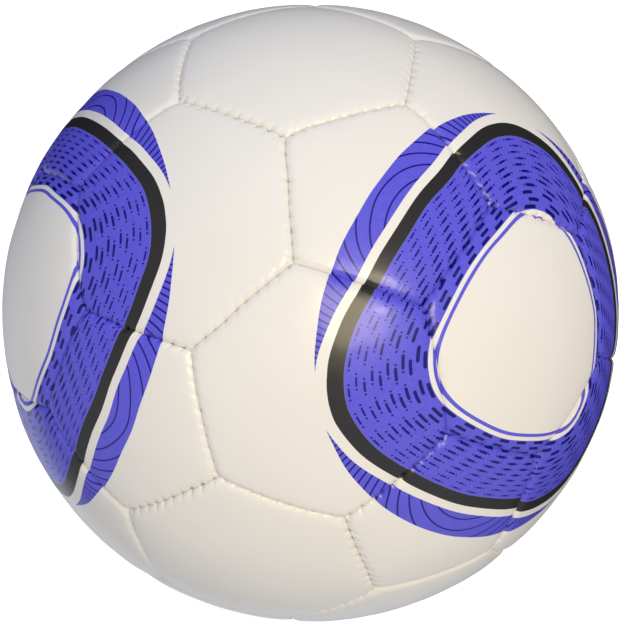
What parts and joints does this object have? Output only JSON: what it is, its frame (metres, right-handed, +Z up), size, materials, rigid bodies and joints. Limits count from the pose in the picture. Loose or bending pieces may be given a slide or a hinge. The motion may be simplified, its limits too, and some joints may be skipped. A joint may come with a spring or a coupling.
{
  "type": "football",
  "caption": "Round inflatable football of stitched hexagonal and pentagonal panels over a rubber bladder, with a push-in needle valve.",
  "frame": {"origin": "centre of the ball", "axes": "+Z up through the middle of a plain white hexagonal panel; -Y is the front, towards the middle of another plain white hexagon that faces forwards and a little down; the valve is in the plain hexagon at the back left, low"},
  "size_m": [0.2196, 0.2196, 0.22],
  "materials": {
    "plain_cover": "white synthetic leather, semi-gloss",
    "printed_hexagon_cover": "white synthetic leather with a violet-blue, charcoal and white print, semi-gloss",
    "printed_pentagon_cover": "white synthetic leather with a violet-blue, charcoal and white print, semi-gloss",
    "waxed_thread": "waxed polyester thread",
    "bladder_rubber": "matt butyl rubber",
    "valve_rubber": "matt moulded rubber",
    "valve_core_rubber": "satin rubber",
    "lining_cloth": "woven polyester and cotton lining"
  },
  "bodies": {
    "ball": {"hex_panel_01": "plain_cover", "hex_panel_02": "printed_hexagon_cover", "hex_panel_03": "printed_hexagon_cover", "hex_panel_04": "printed_hexagon_cover", "hex_panel_05": "printed_hexagon_cover", "hex_panel_06": "printed_hexagon_cover", "hex_panel_07": "printed_hexagon_cover", "hex_panel_08": "printed_hexagon_cover", "hex_panel_09": "printed_hexagon_cover", "hex_panel_10": "printed_hexagon_cover", "hex_panel_11": "plain_cover", "hex_panel_12": "printed_hexagon_cover", "hex_panel_13": "plain_cover", "hex_panel_14": "printed_hexagon_cover", "hex_panel_15": "plain_cover", "hex_panel_16": "printed_hexagon_cover", "hex_panel_17": "printed_hexagon_cover", "hex_panel_18": "printed_hexagon_cover", "hex_panel_19": "printed_hexagon_cover", "hex_panel_20": "printed_hexagon_cover", "pent_panel_01": "printed_pentagon_cover", "pent_panel_02": "printed_pentagon_cover", "pent_panel_03": "printed_pentagon_cover", "pent_panel_04": "printed_pentagon_cover", "pent_panel_05": "printed_pentagon_cover", "pent_panel_06": "printed_pentagon_cover", "pent_panel_07": "printed_pentagon_cover", "pent_panel_08": "printed_pentagon_cover", "pent_panel_09": "printed_pentagon_cover", "pent_panel_10": "printed_pentagon_cover", "pent_panel_11": "printed_pentagon_cover", "pent_panel_12": "printed_pentagon_cover", "stitching_thread": "waxed_thread", "bladder": "bladder_rubber", "valve_body": "valve_rubber", "valve_patch": "lining_cloth"},
    "core": {"valve_core": "valve_core_rubber"}
  },
  "joints": [
    {"name": "valve_core_pull", "type": "slide", "parent": "ball", "child": "core", "axis": [-0.8165, 0.4714, -0.3333], "range_m": [0, 0.02]}
  ]
}
